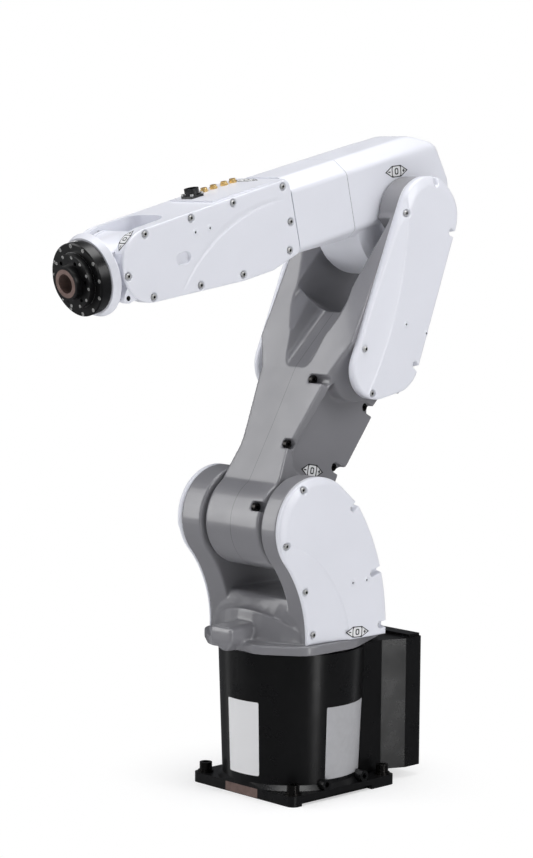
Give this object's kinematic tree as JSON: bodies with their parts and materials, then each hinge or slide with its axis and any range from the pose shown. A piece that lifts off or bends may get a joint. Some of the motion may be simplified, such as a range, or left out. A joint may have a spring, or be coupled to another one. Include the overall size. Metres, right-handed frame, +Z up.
{
  "type": "articulated robot arm",
  "caption": "Compact six-axis articulated robot arm on a square base, with a forked upper arm, hollow wrist and round tool flange.",
  "frame": {"origin": "centre of the turning axis of the base, on the base's mounting plane", "axes": "+Z up along the turning axis of the base, +X ahead of the robot, +Y to its left"},
  "size_m": [0.6126, 0.1956, 0.8287],
  "materials": {
    "black_paint": "black gloss enamel over cast aluminium",
    "black_plastic": "black moulded plastic",
    "black_steel": "blackened steel",
    "brass": "bare brass",
    "bronze": "dark bronze",
    "grey_paint": "grey semi-gloss enamel over cast aluminium",
    "machined_steel": "machined steel",
    "motor_case": "black painted motor case",
    "white_paint": "white semi-gloss enamel over cast aluminium and moulded covers",
    "zinc_steel": "zinc plated steel"
  },
  "bodies": {
    "base": {"base_casting": "black_paint", "base_bolts": "black_steel", "base_washers": "black_steel", "connector_box": "black_paint", "connector_panel": "machined_steel", "connector_sockets": "black_plastic", "panel_screws": "zinc_steel", "j1_motor": "motor_case", "j1_reducer": "machined_steel"},
    "turret": {"j1_output_flange": "machined_steel", "turret_casting": "grey_paint", "shoulder_cover_left": "white_paint", "shoulder_cover_right": "white_paint", "shoulder_cover_screws": "zinc_steel", "j2_motor": "motor_case", "j2_reducer": "machined_steel", "j2_support_bearing": "machined_steel"},
    "upper_arm": {"j2_output_flange": "machined_steel", "arm_half_left": "grey_paint", "arm_half_right": "grey_paint", "arm_joining_screws": "black_steel", "elbow_cover_left": "white_paint", "elbow_cover_right": "white_paint", "elbow_cover_screws": "zinc_steel", "j3_motor": "motor_case", "j3_reducer": "machined_steel", "j3_support_bearing": "machined_steel"},
    "elbow": {"j3_output_flange": "machined_steel", "elbow_housing": "white_paint", "forearm_extension": "white_paint", "j4_motor": "motor_case", "j4_reducer": "machined_steel"},
    "forearm": {"j4_output_flange": "machined_steel", "forearm_casting": "white_paint", "forearm_cover_left": "white_paint", "forearm_cover_right": "white_paint", "forearm_cover_screws": "zinc_steel", "signal_connector": "black_paint", "air_ports": "brass", "service_screws": "zinc_steel", "j5_motor": "motor_case", "j5_reducer": "machined_steel", "j5_support_bearing": "machined_steel"},
    "wrist": {"j5_output_flange": "machined_steel", "wrist_housing": "white_paint", "wrist_side_cap": "white_paint", "wrist_cap_screws": "black_steel", "j6_motor": "motor_case", "j6_reducer": "machined_steel", "wrist_ring": "black_paint", "wrist_ring_screws": "zinc_steel"},
    "tool_flange": {"tool_flange": "black_paint", "tool_flange_screws": "zinc_steel", "hub_sleeve": "bronze"}
  },
  "joints": [
    {"name": "j1_turn", "type": "hinge", "parent": "base", "child": "turret", "pos_m": [0, 0, 0.187], "axis": [0, 0, 1], "range_deg": [-170, 170]},
    {"name": "j2_shoulder", "type": "hinge", "parent": "turret", "child": "upper_arm", "pos_m": [0.05, 0, 0.345], "axis": [0, 1, 0], "range_deg": [-52.7, 135]},
    {"name": "j3_elbow", "type": "hinge", "parent": "upper_arm", "child": "elbow", "pos_m": [-0.14722, 0, 0.72711], "axis": [0, -1, 0], "range_deg": [-34, 230]},
    {"name": "j4_forearm_roll", "type": "hinge", "parent": "elbow", "child": "forearm", "pos_m": [0.2815, 0, 0.67123], "axis": [0.9728, 0, -0.2317], "range_deg": [-190, 190]},
    {"name": "j5_wrist_bend", "type": "hinge", "parent": "forearm", "child": "wrist", "pos_m": [0.2815, 0, 0.67123], "axis": [0, 1, 0], "range_deg": [-95, 92]},
    {"name": "j6_tool_roll", "type": "hinge", "parent": "wrist", "child": "tool_flange", "pos_m": [0.36322, 0, 0.65176], "axis": [0.9728, 0, -0.2317], "range_deg": [-360, 360]}
  ]
}
